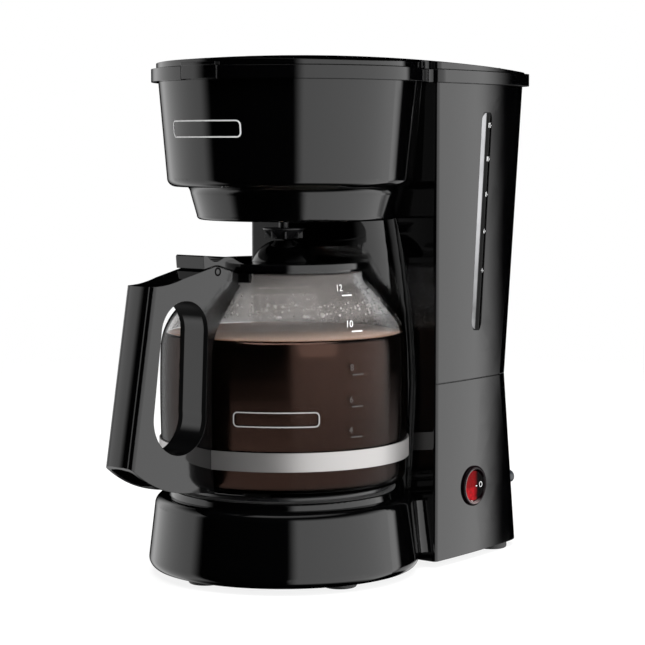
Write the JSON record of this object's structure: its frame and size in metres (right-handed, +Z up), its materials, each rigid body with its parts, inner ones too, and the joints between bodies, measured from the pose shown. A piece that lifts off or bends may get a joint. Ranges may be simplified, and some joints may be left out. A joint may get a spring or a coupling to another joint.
{
  "type": "drip coffee maker",
  "caption": "Black drip coffee maker with a hinged lid over brew head and water tower, a side water window, a round lit switch and a glass carafe on a round hot plate.",
  "frame": {"origin": "on the counter under the feet, at the middle of the whole machine's footprint, carafe handle included", "axes": "+Z up, -Y towards the user and the carafe handle, +X towards the side with the switch and the water window"},
  "size_m": [0.1644, 0.308, 0.3075],
  "materials": {
    "black_gloss": "smooth gloss moulded plastic",
    "black_satin": "satin moulded plastic",
    "carafe_black": "smooth gloss moulded plastic",
    "plate_black": "non-stick enamel on steel",
    "glass": "clear borosilicate",
    "window_clear": "clear moulded bar",
    "steel_band": "polished strip",
    "steel": "bright wire and pressed steel",
    "screw_steel": "zinc plated",
    "aluminium": "extruded, as drawn",
    "rubber_black": "matt",
    "silicone": "translucent white",
    "tank_plastic": "satin moulded plastic",
    "white_plastic": "moulded",
    "switch_red": "translucent red",
    "lamp_glass": "neon lamp",
    "ceramic": "moulded phenolic and ceramic",
    "sleeve": "woven fibreglass",
    "lead_brown": "insulated wire",
    "lead_blue": "insulated wire",
    "lead_white": "insulated wire"
  },
  "bodies": {
    "machine": {"base_housing": "black_gloss", "bottom_cover": "black_satin", "base_screws": "screw_steel", "feet": "rubber_black", "upper_housing": "black_gloss", "rim_collar": "black_gloss", "water_window": "window_clear", "brew_chamber": "black_satin", "filter_basket": "black_satin", "valve_cage": "black_satin", "valve_spring": "steel", "lid_hinge_pins": "steel", "water_tank": "tank_plastic", "check_valve_cage": "white_plastic", "inlet_hose": "silicone", "water_tube": "aluminium", "outlet_hose": "silicone", "riser_tube": "white_plastic", "outlet_nozzle": "silicone", "hot_plate": "plate_black", "plate_seal": "silicone", "heating_element": "aluminium", "element_terminals": "steel", "element_bracket": "steel", "bracket_screws": "screw_steel", "thermostat": "ceramic", "thermal_fuse": "steel", "fuse_sleeve": "sleeve", "switch_bezel": "black_gloss", "switch_body": "black_satin", "switch_lamp": "lamp_glass", "rocker_pin": "steel", "cord_gland": "rubber_black", "live_lead": "lead_brown", "neutral_lead": "lead_blue", "switched_lead": "lead_brown", "link_lead": "lead_white", "element_lead": "lead_white"},
    "lid": {"lid": "black_gloss", "shower_head": "black_satin"},
    "carafe": {"carafe_handle": "carafe_black", "carafe_collar": "carafe_black", "carafe_lid": "carafe_black", "carafe_lid_pin": "steel", "band_screw": "screw_steel", "carafe_band": "steel_band", "carafe_glass": "glass"},
    "drip_valve": {"drip_valve": "black_satin", "valve_seal": "silicone"},
    "rocker": {"switch_rocker": "switch_red"},
    "check_ball": {"check_valve_ball": "white_plastic"}
  },
  "joints": [
    {"name": "lid_hinge", "type": "hinge", "parent": "machine", "child": "lid", "pos_m": [0, 0.14964, 0.3002], "axis": [-1, 0, 0], "range_deg": [0, 95]},
    {"name": "carafe_slide", "type": "slide", "parent": "machine", "child": "carafe", "axis": [0, -1, 0], "range_m": [0, 0.25]},
    {"name": "drip_valve_lift", "type": "slide", "parent": "machine", "child": "drip_valve", "axis": [0, 0, 1], "range_m": [0, 0.0034], "stiffness_N_per_m": 80, "springref_m": -0.004, "deforming": ["valve_spring"]},
    {"name": "switch_rock", "type": "hinge", "parent": "machine", "child": "rocker", "pos_m": [0.0715, 0.07724, 0.0455], "axis": [0, 0, 1], "range_deg": [0, 8]},
    {"name": "check_ball_lift", "type": "slide", "parent": "machine", "child": "check_ball", "axis": [0, 0, 1], "range_m": [0, 0.0018]}
  ]
}
